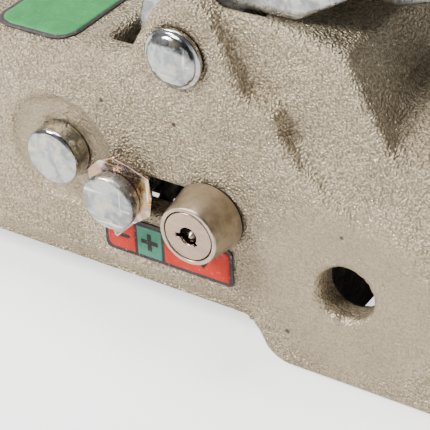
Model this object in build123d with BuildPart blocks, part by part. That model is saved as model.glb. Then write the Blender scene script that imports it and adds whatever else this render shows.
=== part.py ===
from build123d import *
import math
import os

# Lockable trailer coupling head with its plug-in cylinder lock.
# Millimetres. Origin: centre of the tow ball. +X runs back along the drawbar, +Z is up,
# and the lock plugs into the -Y side.

# ---- casting ----
BALL_R = 25.0
SOCKET_GAP = 0.4
INNER_HALF = 25.5          # half the width between the side walls
WALL = 7.0
ROOF_Z = 31.0
ROOF_THICKNESS = 7.0
ROOF_EDGE_R = 6.0
NOSE_BROW_R = 34.0
FRONT_RIM_Z = -25.2
BULKHEAD_X = 112.0         # front face of the wall between mechanism and drawbar
BULKHEAD_THICKNESS = 6.0
TAIL_X = 195.0

# ---- drawbar seat ----
TUBE_R = 25.0
TUBE_GAP = 0.1
TUBE_Z = -10.4
TUBE_RIM_DROP = 24.7       # how far the skirt hangs below the tube's axis
CROSS_BOLT_R = 6.5
CROSS_BOLT_X = 127.4
CROSS_BOLT_SPACING = 50.0
CREASE_Z = 6.4
SHOULDER_HALF = 28.3
SHOULDER_Z = 22.5
SADDLE_TOP_Z = 31.7

# ---- tower and lever bearing ----
PIVOT_X = 87.8
PIVOT_Z = 36.7
EAR_R = 13.3
TOWER_HALF = 28.2
TOWER_TOP_Z = 46.0
TOWER_RIM = 1.6
TOWER_FRONT_X = 97.0
TOWER_REAR_X = 125.0
LEVER_GAP_FRONT_X = 66.0
PIVOT_PIN_R = 6.0
PIVOT_RUN_GAP = 0.05
BUSH_WALL = 1.5

# ---- guide pin, slot bolt and slot ----
GUIDE_PIN_X = 55.2
GUIDE_PIN_Z = 5.0
GUIDE_PIN_R = 6.0
PIN_HEAD_R = 6.95
GUIDE_PIN_PROUD = 4.75
SPOTFACE_R = 11.5
SPOTFACE_RIM = 2.5
SPOTFACE_DEPTH = 0.7
BOLT_X = 72.0
BOLT_Z = -0.5
BOLT_R = 4.25
BOLT_HEAD_R = 6.75
BOLT_PROUD = 7.5
SLOT_HALF = 4.55
CATCH_TRAVEL = 5.5

# ---- plug-in lock ----
LOCK_X = 94.5
LOCK_BASE_R = 8.35
LOCK_FACE_R = 7.0
LOCK_PROUD = 9.3
SHANK_HALF_LENGTH = 7.1
SHANK_GAP = 0.25
SEAL_THICKNESS = 0.5
CORE_R = 6.0
SPINDLE_R = 3.0
TURN_GAP = 0.05
CAM_THICKNESS = 3.2
WAFER_COUNT = 4

# ---- lever ----
YOKE_OUTER = 24.5
YOKE_PLATE = 3.0
YOKE_EYE_R = 15.0
YOKE_SWING_GAP = 0.7
ARM_HALF = 8.0
FORK_GAP = 0.3
YOKE_TOP_Z = 60.0
YOKE_FOOT_Z = 46.8
BAR_HALF = 13.0
BAR_THICKNESS = 8.0
BAR_END_X = 238.0
BAR_RISE = 11.0
GRIP_START_X = 166.0
GRIP_HALF = 18.0
GRIP_SKIN = 7.0
TRIGGER_PIN_R = 1.5

# ---- gauge and top label ----
LABEL_THICKNESS = 0.35
GAUGE_X = (65.4, 99.8)
GAUGE_Z = (-18.0, -8.2)
TOP_LABEL_X = (36.0, 56.0)
TOP_LABEL_HALF = 26.0

# ---- values that follow ----
HALF = INNER_HALF + WALL
SOCKET_R = BALL_R + SOCKET_GAP
SADDLE_R = TUBE_R + TUBE_GAP
SKIRT_Z = TUBE_Z - TUBE_RIM_DROP
CAVITY_TOP_Z = ROOF_Z - ROOF_THICKNESS
SADDLE_FRONT_X = BULKHEAD_X + BULKHEAD_THICKNESS
SLOT_END_X = LOCK_X + SHANK_HALF_LENGTH + SHANK_GAP
LEVER_GAP_REAR_X = PIVOT_X + YOKE_EYE_R + YOKE_SWING_GAP
YOKE_INNER = YOKE_OUTER - YOKE_PLATE
CARRIER_HALF = YOKE_INNER - 1.0
BAR_Z = YOKE_TOP_Z - YOKE_PLATE - BAR_THICKNESS

os.makedirs("parts", exist_ok=True)


def finish_piece(piece, name):
    piece.part.label = name
    export_step(piece.part, "parts/" + name + ".step")


def side_plane(x, z, y=0.0):
    """Plane whose normal points out of the near wall (-Y), X to the right and Z up."""
    return Plane(origin=(x, y, z), x_dir=(1, 0, 0), z_dir=(0, -1, 0))


def turned_on_y(x, z, outline):
    """Solid turned about a Y-direction axis through (x, z); outline is (radius, y) points."""
    with BuildPart() as turned:
        with BuildSketch(Plane.XY.offset(z)):
            with Locations((x, 0)):
                Polygon(*outline, align=None)
        revolve(axis=Axis((x, 0, z), (0, 1, 0)))
    return turned


def turned_on_x(y, z, outline):
    """Solid turned about an X-direction axis through (y, z); outline is (x, radius) points."""
    with BuildPart() as turned:
        with BuildSketch(Plane.XY.offset(z)):
            with Locations((0, y)):
                Polygon(*outline, align=None)
        revolve(axis=Axis((0, y, z), (1, 0, 0)))
    return turned


# ======================= casting =======================
EAR_FOOT = (PIVOT_X - 11.2, PIVOT_Z + 0.3)
EAR_FRONT = (PIVOT_X - 6.2, PIVOT_Z + 8.9)
EAR_TOP = (PIVOT_X, PIVOT_Z + EAR_R)
EAR_REAR = (PIVOT_X + EAR_R * math.cos(math.radians(45)), PIVOT_Z + EAR_R * math.sin(math.radians(45)))

with BuildPart() as coupler_housing:
    # nose and front body
    with BuildSketch(Plane.XY.offset(FRONT_RIM_Z)):
        Circle(HALF)
        with Locations((BULKHEAD_X / 2, 0)):
            Rectangle(BULKHEAD_X, 2 * HALF)
    extrude(amount=ROOF_Z - FRONT_RIM_Z)
    # rounded brow of the nose
    with BuildSketch(Plane.XZ):
        with BuildLine():
            brow_side = Line((-HALF - 1, ROOF_Z + 1), (-HALF - 1, -2))
            brow_arc = RadiusArc(brow_side @ 1, (2, ROOF_Z), NOSE_BROW_R)
            Polyline(brow_arc @ 1, (2, ROOF_Z + 1), brow_side @ 0)
        make_face()
    extrude(amount=HALF + 1, both=True, mode=Mode.SUBTRACT)
    top_edges = coupler_housing.edges().filter_by(
        lambda e: 2.5 < e.center().X < BULKHEAD_X - 1 and e.center().Z > ROOF_Z - 0.1
    )
    fillet(top_edges, ROOF_EDGE_R)
    # side walls with shoulder and ear
    with BuildSketch(Plane.XZ):
        with BuildLine():
            shoulder = Polyline((58, 0), (58, 29), (61.6, 32.8), (74.9, 33.6), EAR_FOOT, EAR_FRONT)
            ear = ThreePointArc(shoulder @ 1, EAR_TOP, EAR_REAR)
            Polyline(
                ear @ 1, (103.5, 30.5), (110.4, 30.0), (112.6, 23.5), (116.5, 18.0),
                (131.5, CREASE_Z), (131.5, 0), shoulder @ 0,
            )
        make_face()
    extrude(amount=HALF, both=True)
    # tower behind the lever opening
    with BuildSketch(Plane.XZ):
        Polygon(
            (TOWER_FRONT_X, 0), (TOWER_FRONT_X, TOWER_TOP_Z + TOWER_RIM), (106, TOWER_TOP_Z + TOWER_RIM),
            (116, TOWER_TOP_Z),
            (TOWER_REAR_X, TOWER_TOP_Z - 2), (136.7, SHOULDER_Z), (136.7, 0), align=None,
        )
    extrude(amount=TOWER_HALF, both=True)
    # the tower's rim stands up on both sides of the lever
    with BuildSketch(Plane.XZ):
        with Locations(((TOWER_FRONT_X + TOWER_REAR_X) / 2, TOWER_TOP_Z + 5)):
            Rectangle(TOWER_REAR_X - TOWER_FRONT_X, 10)
    extrude(amount=INNER_HALF, both=True, mode=Mode.SUBTRACT)
    # drawbar seat: skirts, crease, leaning shoulders and arched top
    with BuildSketch(Plane.YZ.offset(BULKHEAD_X)):
        with BuildLine():
            left = Polyline((-HALF, SKIRT_Z), (-HALF, CREASE_Z), (-SHOULDER_HALF, SHOULDER_Z))
            arch = ThreePointArc(left @ 1, (0, SADDLE_TOP_Z), (SHOULDER_HALF, SHOULDER_Z))
            Polyline(arch @ 1, (HALF, CREASE_Z), (HALF, SKIRT_Z), left @ 0)
        make_face()
    extrude(amount=TAIL_X - BULKHEAD_X)
    # swept step from the front rim down to the skirt
    with BuildSketch(Plane.XZ):
        with BuildLine():
            drop = TangentArc((99, FRONT_RIM_Z), (106, (FRONT_RIM_Z + SKIRT_Z) / 2), tangent=(1, 0))
            level = TangentArc(drop @ 1, (BULKHEAD_X + 1, SKIRT_Z), tangent=drop % 1)
            Polyline(level @ 1, (BULKHEAD_X + 1, 0), (99, 0), drop @ 0)
        make_face()
    extrude(amount=HALF, both=True)
    # ball socket, open below
    Sphere(SOCKET_R, mode=Mode.SUBTRACT)
    with BuildSketch(Plane.XY.offset(SKIRT_Z - 1)):
        Circle(SOCKET_R)
    extrude(amount=-(SKIRT_Z - 1), mode=Mode.SUBTRACT)
    # mechanism bay between the walls, and the hollow under the tower
    with BuildSketch(Plane.XZ):
        with Locations((BULKHEAD_X / 2, (CAVITY_TOP_Z + SKIRT_Z - 1) / 2)):
            Rectangle(BULKHEAD_X, CAVITY_TOP_Z - SKIRT_Z + 1)
    extrude(amount=INNER_HALF, both=True, mode=Mode.SUBTRACT)
    with BuildSketch(Plane.XZ):
        Polygon((109, 20), (109, 39), (116, 39), (121, 24), (121, 20), align=None)
    extrude(amount=TOWER_HALF - WALL, both=True, mode=Mode.SUBTRACT)
    # opening between the ears for the lever
    with BuildSketch(Plane.XZ):
        with Locations(((LEVER_GAP_FRONT_X + LEVER_GAP_REAR_X) / 2, CAVITY_TOP_Z + 20)):
            Rectangle(LEVER_GAP_REAR_X - LEVER_GAP_FRONT_X, 44)
    extrude(amount=INNER_HALF, both=True, mode=Mode.SUBTRACT)
    # seat for the drawbar tube, open below
    with BuildSketch(Plane.YZ.offset(SADDLE_FRONT_X)):
        with Locations((0, TUBE_Z)):
            Circle(SADDLE_R)
        with Locations((0, (TUBE_Z + SKIRT_Z - 1) / 2)):
            Rectangle(2 * SADDLE_R, TUBE_Z - SKIRT_Z + 1)
    extrude(amount=TAIL_X - SADDLE_FRONT_X + 1, mode=Mode.SUBTRACT)
    # slots for the catch bolt and the lock
    with BuildSketch(side_plane((BOLT_X - SHANK_GAP + SLOT_END_X - SLOT_HALF) / 2, BOLT_Z)):
        SlotCenterToCenter(SLOT_END_X - SLOT_HALF - BOLT_X + SHANK_GAP, 2 * SLOT_HALF)
    extrude(amount=HALF + 1, both=True, mode=Mode.SUBTRACT)
    # round holes across the walls
    for x, z, r in (
        (GUIDE_PIN_X, GUIDE_PIN_Z, GUIDE_PIN_R),
        (PIVOT_X, PIVOT_Z, PIVOT_PIN_R),
        (CROSS_BOLT_X, TUBE_Z, CROSS_BOLT_R),
        (CROSS_BOLT_X + CROSS_BOLT_SPACING, TUBE_Z, CROSS_BOLT_R),
    ):
        with BuildSketch(side_plane(x, z)):
            Circle(r)
        extrude(amount=HALF + 1, both=True, mode=Mode.SUBTRACT)
    # machined seats round the guide pin's heads
    for side in (-1, 1):
        seat = turned_on_y(GUIDE_PIN_X, GUIDE_PIN_Z, (
            (0, side * (HALF - SPOTFACE_DEPTH)), (SPOTFACE_R, side * (HALF - SPOTFACE_DEPTH)),
            (SPOTFACE_R + SPOTFACE_RIM, side * HALF), (SPOTFACE_R + SPOTFACE_RIM, side * (HALF + 1)),
            (0, side * (HALF + 1)),
        ))
        add(seat.part, mode=Mode.SUBTRACT)
    # pocket for the front friction pad, with its pin hole
    with BuildSketch(Plane.XY.offset(-10)):
        with Locations((-25, 0)):
            Rectangle(9, 18)
    extrude(amount=20, mode=Mode.SUBTRACT)
    with BuildSketch(Plane.YZ.offset(-HALF - 1)):
        Circle(3)
    extrude(amount=10, mode=Mode.SUBTRACT)
    # hole in the bulkhead for the spring guide rod
    with BuildSketch(Plane.YZ.offset(BULKHEAD_X - 1)):
        with Locations((0, BOLT_Z)):
            Circle(5.2)
    extrude(amount=BULKHEAD_THICKNESS + 2, mode=Mode.SUBTRACT)

# The real casting is one piece. It is stored as blocks that meet face to face, each one simple
# enough for its collision hulls to leave the ball socket, the bay and the seat open.
NOSE_SPLIT_Z = 13.0
NOSE_SECTORS = 5
BEYOND = 400.0
casting = coupler_housing.part


def box_region(x, y, z):
    """Box from its low and high x, y and z."""
    return Pos(sum(x) / 2, sum(y) / 2, sum(z) / 2) * Box(x[1] - x[0], y[1] - y[0], z[1] - z[0])


def nose_sector(number):
    """Upright wedge from the ball's axis, below the split of the nose."""
    turn = 180 / NOSE_SECTORS
    rays = [math.radians(90 + turn * n) for n in (number, number + 1)]
    outline = [(0, 0)] + [(BEYOND * math.cos(a), BEYOND * math.sin(a)) for a in rays]
    with BuildPart() as wedge:
        with BuildSketch(Plane.XY.offset(-BEYOND)):
            Polygon(*outline, align=None)
        extrude(amount=BEYOND + NOSE_SPLIT_Z)
    return wedge.part


def finish_blocks(name, *regions):
    """Writes the casting's share of each region as one node, and returns its volume."""
    blocks = Compound(children=[solid for region in regions for solid in (casting & region).solids()])
    blocks.label = name
    export_step(blocks, "parts/" + name + ".step")
    return blocks.volume


along_bay = (0, BULKHEAD_X)
inside_walls = (-INNER_HALF, INNER_HALF)
above_bay = (CAVITY_TOP_Z, BEYOND)
block_volume = finish_blocks("nose_wall", *[nose_sector(n) for n in range(NOSE_SECTORS)])
block_volume += finish_blocks("nose_cap", box_region((-BEYOND, 0), (-BEYOND, BEYOND), (NOSE_SPLIT_Z, BEYOND)))
block_volume += finish_blocks("side_wall_near", box_region(along_bay, (-BEYOND, -INNER_HALF), (-BEYOND, BEYOND)))
block_volume += finish_blocks("side_wall_far", box_region(along_bay, (INNER_HALF, BEYOND), (-BEYOND, BEYOND)))
block_volume += finish_blocks("front_roof", box_region((0, LEVER_GAP_FRONT_X), inside_walls, above_bay))
block_volume += finish_blocks("lever_tower", box_region((LEVER_GAP_REAR_X, BULKHEAD_X), inside_walls, above_bay))
block_volume += finish_blocks("drawbar_seat", box_region((BULKHEAD_X, BEYOND), (-BEYOND, BEYOND), (-BEYOND, BEYOND)))
print("casting", round(casting.volume), "mm3 in blocks of", round(block_volume), "mm3 together")

# ======================= pieces fixed in the casting =======================
# front friction pad, faced to the ball, and the pin that holds it
with BuildPart() as front_friction_pad:
    with BuildSketch(Plane.XY.offset(-10)):
        with Locations((-25, 0)):
            Rectangle(9, 18)
    extrude(amount=20)
    Sphere(BALL_R + 0.2, mode=Mode.SUBTRACT)
    with BuildSketch(Plane.YZ.offset(-HALF)):
        Circle(3)
    extrude(amount=5, mode=Mode.SUBTRACT)
finish_piece(front_friction_pad, "front_friction_pad")

front_pad_pin = turned_on_x(0, 0, (
    (-HALF + 0.6, 0), (-HALF + 0.6, 3), (-HALF + 5, 3), (-HALF + 5, 0),
))
finish_piece(front_pad_pin, "front_pad_pin")

# guide pin: a headed cross pin, closed over on both walls
head_seat = HALF - SPOTFACE_DEPTH
head_face = HALF + GUIDE_PIN_PROUD
guide_pin = turned_on_y(GUIDE_PIN_X, GUIDE_PIN_Z, (
    (0, -head_face), (PIN_HEAD_R - 0.9, -head_face), (PIN_HEAD_R, -head_face + 0.9),
    (PIN_HEAD_R, -head_seat), (GUIDE_PIN_R, -head_seat), (GUIDE_PIN_R, head_seat),
    (PIN_HEAD_R, head_seat), (PIN_HEAD_R, head_face - 0.9), (PIN_HEAD_R - 0.9, head_face), (0, head_face),
))
finish_piece(guide_pin, "guide_pin")

# lever pivot pin: domed and flanged head on the near ear, washer and clip beyond the far one
WASHER_THICKNESS = 1.6
GROOVE_DEPTH = 1.0
CLIP_THICKNESS = 1.2
DOME_RISE = 2.0
clip_y = HALF + WASHER_THICKNESS + 0.1
dome_r = PIN_HEAD_R - 0.9
dome_y = -HALF - 1.6
dome_sphere_r = (dome_r**2 + DOME_RISE**2) / (2 * DOME_RISE)
dome_mid = math.sqrt(dome_sphere_r**2 - dome_r**2 / 4) - dome_sphere_r + DOME_RISE
with BuildPart() as pivot_pin:
    with BuildSketch(Plane.XY.offset(PIVOT_Z)):
        with BuildLine():
            rim = Polyline(
                (PIVOT_X, HALF + 5.5), (PIVOT_X + PIVOT_PIN_R - 0.8, HALF + 5.5),
                (PIVOT_X + PIVOT_PIN_R, HALF + 4.7), (PIVOT_X + PIVOT_PIN_R, clip_y + CLIP_THICKNESS),
                (PIVOT_X + PIVOT_PIN_R - GROOVE_DEPTH, clip_y + CLIP_THICKNESS),
                (PIVOT_X + PIVOT_PIN_R - GROOVE_DEPTH, clip_y), (PIVOT_X + PIVOT_PIN_R, clip_y),
                (PIVOT_X + PIVOT_PIN_R, -HALF), (PIVOT_X + PIN_HEAD_R, -HALF),
                (PIVOT_X + PIN_HEAD_R, -HALF - 1.3), (PIVOT_X + dome_r, dome_y),
            )
            dome = ThreePointArc(rim @ 1, (PIVOT_X + dome_r / 2, dome_y - dome_mid), (PIVOT_X, dome_y - DOME_RISE))
            Line(dome @ 1, rim @ 0)
        make_face()
    revolve(axis=Axis((PIVOT_X, 0, PIVOT_Z), (0, 1, 0)))
finish_piece(pivot_pin, "pivot_pin")

pivot_washer = turned_on_y(PIVOT_X, PIVOT_Z, (
    (PIVOT_PIN_R, HALF), (11, HALF), (11, HALF + WASHER_THICKNESS), (PIVOT_PIN_R, HALF + WASHER_THICKNESS),
))
finish_piece(pivot_washer, "pivot_washer")

with BuildPart() as pivot_clip:
    with BuildSketch(Plane(origin=(PIVOT_X, clip_y, PIVOT_Z), x_dir=(1, 0, 0), z_dir=(0, 1, 0))):
        Circle(9)
        Circle(PIVOT_PIN_R - GROOVE_DEPTH, mode=Mode.SUBTRACT)
        with Locations((0, 6)):
            Rectangle(8.4, 12, mode=Mode.SUBTRACT)
    extrude(amount=CLIP_THICKNESS)
finish_piece(pivot_clip, "pivot_clip")

# rear seat of the catch spring, flat against the bulkhead
SPRING_R = 12.5
SPRING_WIRE_R = 2.0
SEAT_THICKNESS = 3.0
spring_seat = turned_on_x(0, BOLT_Z, (
    (BULKHEAD_X, 5.2), (BULKHEAD_X, 17), (BULKHEAD_X - SEAT_THICKNESS, 17),
    (BULKHEAD_X - SEAT_THICKNESS, 9.6), (BULKHEAD_X - SEAT_THICKNESS - 2, 9), (BULKHEAD_X - SEAT_THICKNESS - 2, 5.2),
))
finish_piece(spring_seat, "spring_seat")

# labels
with BuildPart() as gauge_label:
    with BuildSketch(side_plane(0, 0, -HALF)):
        with Locations((sum(GAUGE_X) / 2, sum(GAUGE_Z) / 2)):
            RectangleRounded(GAUGE_X[1] - GAUGE_X[0], GAUGE_Z[1] - GAUGE_Z[0], 1.5)
        with Locations((LOCK_X, BOLT_Z)):
            Circle(LOCK_BASE_R + 0.3, mode=Mode.SUBTRACT)
    extrude(amount=LABEL_THICKNESS)
finish_piece(gauge_label, "gauge_label")

with BuildPart() as top_label:
    with BuildSketch(Plane.XY.offset(ROOF_Z)):
        with Locations((sum(TOP_LABEL_X) / 2, 0)):
            RectangleRounded(TOP_LABEL_X[1] - TOP_LABEL_X[0], 2 * TOP_LABEL_HALF, 3)
    extrude(amount=LABEL_THICKNESS)
finish_piece(top_label, "top_label")

# ======================= catch, sliding along X =======================
CARRIER_FRONT_X = 40.0
CARRIER_REAR_X = 84.0
CARRIER_Z = (-9.5, 14.0)
CATCH_FRONT_X = 15.0
CATCH_Z = (-20.0, 12.0)
CATCH_SCREW_R = 2.9
CATCH_SCREW_Y = 14.0
CATCH_SCREW_Z = -5.5
PAD_HALF = 8.5
PAD_BACK_X = 31.0
ROD_R = 4.5

with BuildPart() as catch_carrier:
    with BuildSketch(Plane.XZ):
        with Locations(((CARRIER_FRONT_X + CARRIER_REAR_X) / 2, sum(CARRIER_Z) / 2)):
            Rectangle(CARRIER_REAR_X - CARRIER_FRONT_X, CARRIER_Z[1] - CARRIER_Z[0])
    extrude(amount=CARRIER_HALF, both=True)
    # guide slot, long enough for the catch's travel
    with BuildSketch(side_plane(GUIDE_PIN_X - CATCH_TRAVEL / 2, GUIDE_PIN_Z)):
        SlotCenterToCenter(CATCH_TRAVEL + 0.4, 2 * (GUIDE_PIN_R + 0.15))
    extrude(amount=CARRIER_HALF + 1, both=True, mode=Mode.SUBTRACT)
    with BuildSketch(side_plane(BOLT_X, BOLT_Z)):
        Circle(BOLT_R)
    extrude(amount=CARRIER_HALF + 1, both=True, mode=Mode.SUBTRACT)
    # tapped holes: two for the catch, one for the spring's guide rod
    with BuildSketch(Plane.YZ.offset(CARRIER_FRONT_X)):
        with Locations((-CATCH_SCREW_Y, CATCH_SCREW_Z), (CATCH_SCREW_Y, CATCH_SCREW_Z)):
            Circle(CATCH_SCREW_R)
    extrude(amount=18, mode=Mode.SUBTRACT)
    with BuildSketch(Plane.YZ.offset(CARRIER_REAR_X)):
        with Locations((0, BOLT_Z)):
            Circle(ROD_R)
    extrude(amount=-6, mode=Mode.SUBTRACT)
    chamfer(catch_carrier.edges().filter_by(Axis.Y).group_by(Axis.X)[-1], 2)
finish_piece(catch_carrier, "catch_carrier")

with BuildPart() as ball_catch:
    with BuildSketch(Plane.XZ):
        with BuildLine():
            Polyline(
                (CARRIER_FRONT_X, CATCH_Z[1]), (CATCH_FRONT_X, CATCH_Z[1]), (CATCH_FRONT_X, CATCH_Z[0]),
                (24, CATCH_Z[0]), (CARRIER_FRONT_X, CARRIER_Z[0]), (CARRIER_FRONT_X, CATCH_Z[1]),
            )
        make_face()
    extrude(amount=CARRIER_HALF, both=True)
    Sphere(SOCKET_R, mode=Mode.SUBTRACT)
    with BuildSketch(Plane.YZ.offset(CATCH_FRONT_X)):
        Rectangle(2 * PAD_HALF, 2 * PAD_HALF)
    extrude(amount=PAD_BACK_X - CATCH_FRONT_X, mode=Mode.SUBTRACT)
    with BuildSketch(Plane.YZ.offset(CATCH_FRONT_X)):
        with Locations((-CATCH_SCREW_Y, CATCH_SCREW_Z), (CATCH_SCREW_Y, CATCH_SCREW_Z)):
            Circle(4.8)
    extrude(amount=15, mode=Mode.SUBTRACT)
    with BuildSketch(Plane.YZ.offset(CATCH_FRONT_X)):
        with Locations((-CATCH_SCREW_Y, CATCH_SCREW_Z), (CATCH_SCREW_Y, CATCH_SCREW_Z)):
            Circle(CATCH_SCREW_R)
        with Locations((0, -5), (0, 5)):
            Circle(2)
    extrude(amount=CARRIER_FRONT_X - CATCH_FRONT_X, mode=Mode.SUBTRACT)
finish_piece(ball_catch, "ball_catch")

with BuildPart() as catch_friction_pad:
    with BuildSketch(Plane.YZ.offset(20)):
        Rectangle(2 * PAD_HALF, 2 * PAD_HALF)
    extrude(amount=PAD_BACK_X - 20)
    Sphere(BALL_R + 0.2, mode=Mode.SUBTRACT)
    with BuildSketch(Plane.YZ.offset(20)):
        with Locations((0, -5), (0, 5)):
            Circle(2)
    extrude(amount=PAD_BACK_X - 20, mode=Mode.SUBTRACT)
    with BuildSketch(Plane.YZ.offset(20)):
        with Locations((0, -5), (0, 5)):
            Circle(3.2)
    extrude(amount=8, mode=Mode.SUBTRACT)
finish_piece(catch_friction_pad, "catch_friction_pad")

with BuildPart() as pad_rivets:
    for z in (-5, 5):
        rivet = turned_on_x(0, z, ((26.5, 0), (26.5, 3.2), (28, 3.2), (28, 2), (38, 2), (38, 0)))
        add(rivet.part)
finish_piece(pad_rivets, "pad_rivets")

with BuildPart() as catch_screws:
    for y in (-CATCH_SCREW_Y, CATCH_SCREW_Y):
        screw = turned_on_x(y, CATCH_SCREW_Z, (
            (25, 0), (25, 4), (25.6, 4.6), (30, 4.6), (30, CATCH_SCREW_R), (57, CATCH_SCREW_R), (57, 0),
        ))
        add(screw.part)
        with BuildSketch(Plane.YZ.offset(25)):
            with Locations((y, CATCH_SCREW_Z)):
                RegularPolygon(2.9, 6)
        extrude(amount=2.5, mode=Mode.SUBTRACT)
finish_piece(catch_screws, "catch_screws")

# slot bolt: grooved shank, sheared flat heads on both sides
bolt_face = HALF + BOLT_PROUD
bolt_neck = HALF + 3.4
slot_bolt = turned_on_y(BOLT_X, BOLT_Z, (
    (0, -bolt_face), (BOLT_HEAD_R - 0.5, -bolt_face), (BOLT_HEAD_R, -bolt_face + 0.5),
    (BOLT_HEAD_R, -bolt_neck - 1.6), (BOLT_HEAD_R - 0.5, -bolt_neck - 1.1), (BOLT_HEAD_R - 0.5, -bolt_neck),
    (BOLT_R, -bolt_neck), (BOLT_R, bolt_neck),
    (BOLT_HEAD_R - 0.5, bolt_neck), (BOLT_HEAD_R - 0.5, bolt_neck + 1.1), (BOLT_HEAD_R, bolt_neck + 1.6),
    (BOLT_HEAD_R, bolt_face - 0.5), (BOLT_HEAD_R - 0.5, bolt_face), (0, bolt_face),
))
finish_piece(slot_bolt, "slot_bolt")

# four-cornered spring retainers under the bolt's heads
RETAINER_THICKNESS = 1.2
for name, side in (("retainer_near", -1), ("retainer_far", 1)):
    with BuildPart() as retainer:
        seat_y = side * (bolt_neck - RETAINER_THICKNESS)
        with BuildSketch(Plane(origin=(BOLT_X, seat_y, BOLT_Z), x_dir=(1, 0, 0), z_dir=(0, side, 0))):
            RectangleRounded(13, 19, 2.5, rotation=-20 * side)
            Circle(BOLT_R, mode=Mode.SUBTRACT)
        extrude(amount=RETAINER_THICKNESS)
    finish_piece(retainer, name)

guide_rod = turned_on_x(0, BOLT_Z, (
    (CARRIER_REAR_X - 6, 0), (CARRIER_REAR_X - 6, ROD_R), (BULKHEAD_X - 1, ROD_R), (BULKHEAD_X, ROD_R - 1),
    (BULKHEAD_X, 0),
))
finish_piece(guide_rod, "guide_rod")

with BuildPart() as guide_rod_nut:
    with BuildSketch(Plane.YZ.offset(CARRIER_REAR_X)):
        with Locations((0, BOLT_Z)):
            RegularPolygon(8, 6)
            Circle(ROD_R, mode=Mode.SUBTRACT)
    extrude(amount=5)
finish_piece(guide_rod_nut, "guide_rod_nut")

# catch spring between the carrier and its seat on the bulkhead
SPRING_TURNS = 3.5
spring_room = BULKHEAD_X - SEAT_THICKNESS - CARRIER_REAR_X
spring_height = spring_room - 2 * SPRING_WIRE_R - 0.6
with BuildPart() as catch_spring:
    with BuildLine():
        coil = Helix(
            pitch=spring_height / SPRING_TURNS, height=spring_height, radius=SPRING_R,
            center=(CARRIER_REAR_X + SPRING_WIRE_R + 0.3, 0, BOLT_Z), direction=(1, 0, 0),
        )
    with BuildSketch(Plane(origin=coil @ 0, z_dir=coil % 0)):
        Circle(SPRING_WIRE_R)
    sweep(path=coil, is_frenet=True)
finish_piece(catch_spring, "catch_spring")

# ======================= lever =======================
arm_x = BOLT_X - PIVOT_X
arm_z = BOLT_Z - PIVOT_Z
arm_length = math.hypot(arm_x, arm_z)
arm_angle = math.degrees(math.atan2(arm_z, arm_x))
fork_seat = math.hypot(BOLT_X + CATCH_TRAVEL - PIVOT_X, arm_z)
ARM_OVERRUN = 9.0
eye_r = PIVOT_PIN_R + PIVOT_RUN_GAP + BUSH_WALL

with BuildPart() as lever_yoke:
    for y in (-YOKE_INNER, YOKE_OUTER):
        with BuildSketch(side_plane(PIVOT_X, PIVOT_Z, y)):
            Circle(YOKE_EYE_R)
            Polygon(
                (-12, 8), (-5, YOKE_TOP_Z - PIVOT_Z), (36, YOKE_TOP_Z - PIVOT_Z), (38, 21.5), (36, 17.5),
                (24, YOKE_FOOT_Z - PIVOT_Z), (11.2, YOKE_FOOT_Z - PIVOT_Z), (4, -6), align=None,
            )
            with Locations(Location((0, 0), arm_angle)):
                with Locations(((arm_length + ARM_OVERRUN) / 2, 0)):
                    Rectangle(arm_length + ARM_OVERRUN, 2 * ARM_HALF)
                # open fork round the catch bolt
                with Locations(((fork_seat + arm_length + ARM_OVERRUN) / 2 + 1, 0)):
                    Rectangle(
                        arm_length + ARM_OVERRUN - fork_seat + 2, 2 * (BOLT_R + FORK_GAP), mode=Mode.SUBTRACT
                    )
                with Locations((fork_seat, 0)):
                    Circle(BOLT_R + FORK_GAP, mode=Mode.SUBTRACT)
            Circle(eye_r, mode=Mode.SUBTRACT)
        extrude(amount=YOKE_PLATE)
    # web across the top
    with BuildSketch(side_plane(PIVOT_X, 0)):
        with Locations((15.5, YOKE_TOP_Z - YOKE_PLATE / 2)):
            Rectangle(41, YOKE_PLATE)
    extrude(amount=YOKE_OUTER, both=True)
    with BuildSketch(Plane.XY.offset(YOKE_TOP_Z)):
        with Locations((PIVOT_X + 20, 0), (PIVOT_X + 32, 0)):
            Circle(3)
    extrude(amount=-YOKE_PLATE, mode=Mode.SUBTRACT)
finish_piece(lever_yoke, "lever_yoke")

for name, side in (("pivot_bush_near", -1), ("pivot_bush_far", 1)):
    bush = turned_on_y(PIVOT_X, PIVOT_Z, (
        (PIVOT_PIN_R + PIVOT_RUN_GAP, side * YOKE_INNER), (eye_r, side * YOKE_INNER),
        (eye_r, side * YOKE_OUTER), (9.5, side * YOKE_OUTER),
        (9.5, side * (INNER_HALF - 0.2)), (PIVOT_PIN_R + PIVOT_RUN_GAP, side * (INNER_HALF - 0.2)),
    ))
    finish_piece(bush, name)

# tube between the two yoke plates, on the pivot pin
pivot_spacer = turned_on_y(PIVOT_X, PIVOT_Z, (
    (PIVOT_PIN_R + PIVOT_RUN_GAP, -YOKE_INNER), (9.0, -YOKE_INNER),
    (9.0, YOKE_INNER), (PIVOT_PIN_R + PIVOT_RUN_GAP, YOKE_INNER),
))
finish_piece(pivot_spacer, "pivot_spacer")

bar_low = BAR_Z
with BuildPart() as handle_bar:
    with BuildSketch(Plane.XZ):
        Polygon(
            (PIVOT_X + 16, bar_low), (PIVOT_X + 42, bar_low), (PIVOT_X + 73.5, bar_low + BAR_RISE),
            (BAR_END_X, bar_low + BAR_RISE), (BAR_END_X, bar_low + BAR_RISE + BAR_THICKNESS),
            (PIVOT_X + 72, bar_low + BAR_RISE + BAR_THICKNESS), (PIVOT_X + 40.5, bar_low + BAR_THICKNESS),
            (PIVOT_X + 16, bar_low + BAR_THICKNESS), align=None,
        )
    extrude(amount=BAR_HALF, both=True)
    with BuildSketch(Plane.XY.offset(bar_low)):
        with Locations((PIVOT_X + 20, 0), (PIVOT_X + 32, 0)):
            Circle(3)
    extrude(amount=BAR_THICKNESS, mode=Mode.SUBTRACT)
finish_piece(handle_bar, "handle_bar")

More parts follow.
